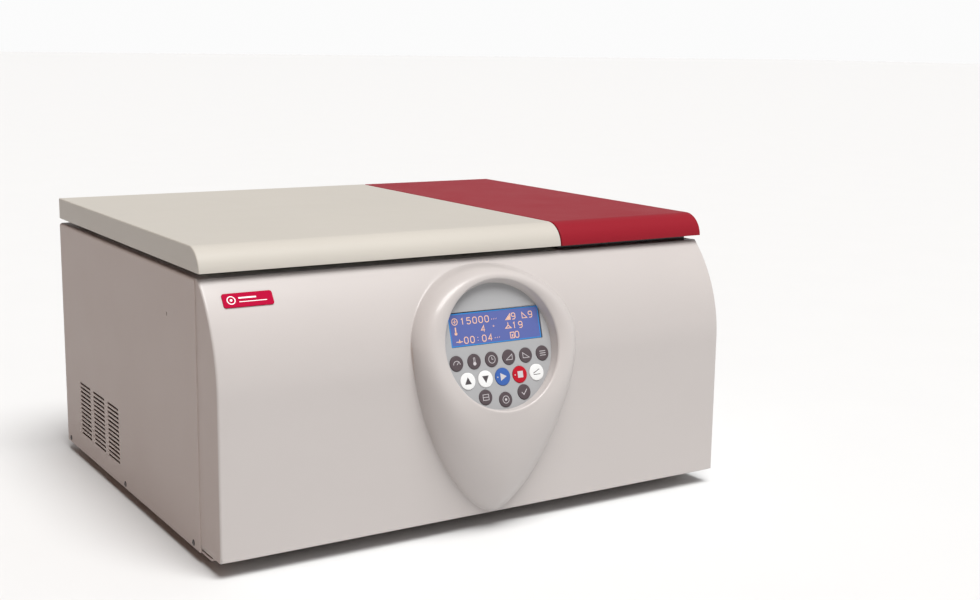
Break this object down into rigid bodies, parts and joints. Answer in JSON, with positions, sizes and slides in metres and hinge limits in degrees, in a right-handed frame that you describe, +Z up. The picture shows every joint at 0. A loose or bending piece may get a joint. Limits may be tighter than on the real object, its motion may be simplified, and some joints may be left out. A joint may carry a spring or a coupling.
{
  "type": "laboratory centrifuge",
  "caption": "Refrigerated bench centrifuge: flat hinged lid beside a fixed red cover, curved fascia with a moulded teardrop surround, round key panel and display.",
  "frame": {"origin": "middle of the footprint box, on the plane that the rubber feet stand on", "axes": "+X right seen from the front, front faces -Y, +Z up"},
  "size_m": [0.722, 0.6364, 0.3695],
  "materials": {
    "zinc_steel": "zinc plated, satin",
    "black_rubber": "matte moulded rubber",
    "cabinet_paint": "warm grey fine-texture powder coat",
    "fascia_plastic": "warm grey-white satin painted moulding",
    "red_paint": "deep red fine-texture powder coat",
    "badge_red": null,
    "dark_steel": "blackened screw",
    "stainless": "circumferentially brushed stainless steel",
    "grey_rubber": "soft silicone seal",
    "foam": "closed-cell polyurethane foam",
    "copper": "drawn copper tube",
    "guard_steel": "primed armour steel",
    "cast_aluminium": "as-cast aluminium",
    "bearing_steel": "ground steel",
    "black_paint": "semi-gloss black enamel",
    "fin_aluminium": "plain fin stock",
    "black_plastic": "matte black moulding",
    "circuit_board": "green solder mask",
    "panel_grey": "satin grey key plate",
    "lcd_blue": "backlit blue display glass",
    "lid_paint": "warm white fine-texture powder coat",
    "liner_steel": "plain stainless sheet",
    "chromed_steel": "polished piston rod",
    "rotor_aluminium": "clear anodised, turned",
    "black_anodised": "black anodised knob",
    "rocker_red": "glossy red rocker",
    "key_dark": "dark grey silk-screened key",
    "key_white": "white key",
    "key_blue": "blue key",
    "key_red": "red key"
  },
  "bodies": {
    "chassis": {"base_pan": "zinc_steel", "rubber_feet": "black_rubber", "left_side_panel": "cabinet_paint", "right_side_panel": "cabinet_paint", "rear_panel": "cabinet_paint", "front_fascia": "fascia_plastic", "top_deck": "cabinet_paint", "right_cover": "red_paint", "badge_plate": "badge_red", "panel_screws": "dark_steel", "chamber_bowl": "stainless", "chamber_gasket": "grey_rubber", "chamber_insulation": "foam", "evaporator_coil": "copper", "guard_ring": "guard_steel", "motor_housing": "cast_aluminium", "motor_bearings": "bearing_steel", "vibration_mounts": "black_rubber", "shaft_boot": "black_rubber", "compressor": "black_paint", "compressor_mounts": "black_rubber", "condenser": "fin_aluminium", "fan_shroud": "black_plastic", "fan_motor": "black_plastic", "refrigerant_pipes": "copper", "drive_board": "circuit_board", "keypad_plate": "panel_grey", "lcd_module": "lcd_blue", "control_board": "circuit_board", "hinge_brackets": "zinc_steel", "latch_frame": "zinc_steel", "latch_motor": "black_plastic", "power_inlet": "black_plastic", "strut_bracket": "zinc_steel"},
    "lid": {"lid_shell": "lid_paint", "lid_liner": "liner_steel", "lid_hinge_arms": "zinc_steel", "lid_strikers": "zinc_steel"},
    "strut_cylinder": {"strut_cylinder": "black_paint"},
    "strut_rod": {"strut_rod": "chromed_steel"},
    "latch": {"latch_shaft": "zinc_steel"},
    "rotor": {"rotor_body": "rotor_aluminium", "rotor_spindle": "bearing_steel", "rotor_knob": "black_anodised"},
    "fan": {"fan_blades": "black_plastic"},
    "rocker": {"mains_rocker": "rocker_red"},
    "key_top_1": {"key_top_1": "key_dark"},
    "key_top_2": {"key_top_2": "key_dark"},
    "key_top_3": {"key_top_3": "key_dark"},
    "key_top_4": {"key_top_4": "key_dark"},
    "key_top_5": {"key_top_5": "key_dark"},
    "key_top_6": {"key_top_6": "key_dark"},
    "key_up": {"key_up": "key_white"},
    "key_down": {"key_down": "key_white"},
    "key_start": {"key_start": "key_blue"},
    "key_stop": {"key_stop": "key_red"},
    "key_door": {"key_door": "key_white"},
    "key_low_1": {"key_low_1": "key_dark"},
    "key_low_2": {"key_low_2": "key_dark"},
    "key_low_3": {"key_low_3": "key_dark"}
  },
  "joints": [
    {"name": "lid_hinge", "type": "hinge", "parent": "chassis", "child": "lid", "pos_m": [0, 0.30923, 0.346], "axis": [-1, 0, 0], "range_deg": [0, 70]},
    {"name": "strut_swing", "type": "hinge", "parent": "chassis", "child": "strut_cylinder", "pos_m": [-0.336, 0.16123, 0.204], "axis": [1, 0, 0], "range_deg": [0, 3.24]},
    {"name": "strut_slide", "type": "slide", "parent": "strut_cylinder", "child": "strut_rod", "axis": [0, 0.6131, 0.79], "range_m": [0, 0.05077]},
    {"name": "latch_turn", "type": "hinge", "parent": "chassis", "child": "latch", "pos_m": [0, -0.12477, 0.2785], "axis": [1, 0, 0], "range_deg": [0, 28]},
    {"name": "rotor_spin", "type": "hinge", "parent": "chassis", "child": "rotor", "pos_m": [-0.117, 0.08622, 0.214], "axis": [0, 0, 1], "continuous": true},
    {"name": "fan_spin", "type": "hinge", "parent": "chassis", "child": "fan", "pos_m": [0.235, -0.11878, 0.174], "axis": [0, 1, 0], "continuous": true},
    {"name": "mains_rocker_tilt", "type": "hinge", "parent": "chassis", "child": "rocker", "pos_m": [0.304, 0.31472, 0.076], "axis": [1, 0, 0], "range_deg": [-14, 0]},
    {"name": "key_top_1_press", "type": "slide", "parent": "chassis", "child": "key_top_1", "axis": [0, 0.9613, -0.2756], "range_m": [0, 0.0008], "stiffness_N_per_m": 1200},
    {"name": "key_top_2_press", "type": "slide", "parent": "chassis", "child": "key_top_2", "axis": [0, 0.9613, -0.2756], "range_m": [0, 0.0008], "stiffness_N_per_m": 1200},
    {"name": "key_top_3_press", "type": "slide", "parent": "chassis", "child": "key_top_3", "axis": [0, 0.9613, -0.2756], "range_m": [0, 0.0008], "stiffness_N_per_m": 1200},
    {"name": "key_top_4_press", "type": "slide", "parent": "chassis", "child": "key_top_4", "axis": [0, 0.9613, -0.2756], "range_m": [0, 0.0008], "stiffness_N_per_m": 1200},
    {"name": "key_top_5_press", "type": "slide", "parent": "chassis", "child": "key_top_5", "axis": [0, 0.9613, -0.2756], "range_m": [0, 0.0008], "stiffness_N_per_m": 1200},
    {"name": "key_top_6_press", "type": "slide", "parent": "chassis", "child": "key_top_6", "axis": [0, 0.9613, -0.2756], "range_m": [0, 0.0008], "stiffness_N_per_m": 1200},
    {"name": "key_up_press", "type": "slide", "parent": "chassis", "child": "key_up", "axis": [0, 0.9613, -0.2756], "range_m": [0, 0.0008], "stiffness_N_per_m": 1200},
    {"name": "key_down_press", "type": "slide", "parent": "chassis", "child": "key_down", "axis": [0, 0.9613, -0.2756], "range_m": [0, 0.0008], "stiffness_N_per_m": 1200},
    {"name": "key_start_press", "type": "slide", "parent": "chassis", "child": "key_start", "axis": [0, 0.9613, -0.2756], "range_m": [0, 0.0008], "stiffness_N_per_m": 1200},
    {"name": "key_stop_press", "type": "slide", "parent": "chassis", "child": "key_stop", "axis": [0, 0.9613, -0.2756], "range_m": [0, 0.0008], "stiffness_N_per_m": 1200},
    {"name": "key_door_press", "type": "slide", "parent": "chassis", "child": "key_door", "axis": [0, 0.9613, -0.2756], "range_m": [0, 0.0008], "stiffness_N_per_m": 1200},
    {"name": "key_low_1_press", "type": "slide", "parent": "chassis", "child": "key_low_1", "axis": [0, 0.9613, -0.2756], "range_m": [0, 0.0008], "stiffness_N_per_m": 1200},
    {"name": "key_low_2_press", "type": "slide", "parent": "chassis", "child": "key_low_2", "axis": [0, 0.9613, -0.2756], "range_m": [0, 0.0008], "stiffness_N_per_m": 1200},
    {"name": "key_low_3_press", "type": "slide", "parent": "chassis", "child": "key_low_3", "axis": [0, 0.9613, -0.2756], "range_m": [0, 0.0008], "stiffness_N_per_m": 1200}
  ],
  "couplings": [
    {"joint": "strut_swing", "follows": "lid_hinge", "ratio": 0.043369},
    {"joint": "strut_slide", "follows": "lid_hinge", "m_per_rad": 0.041148}
  ]
}
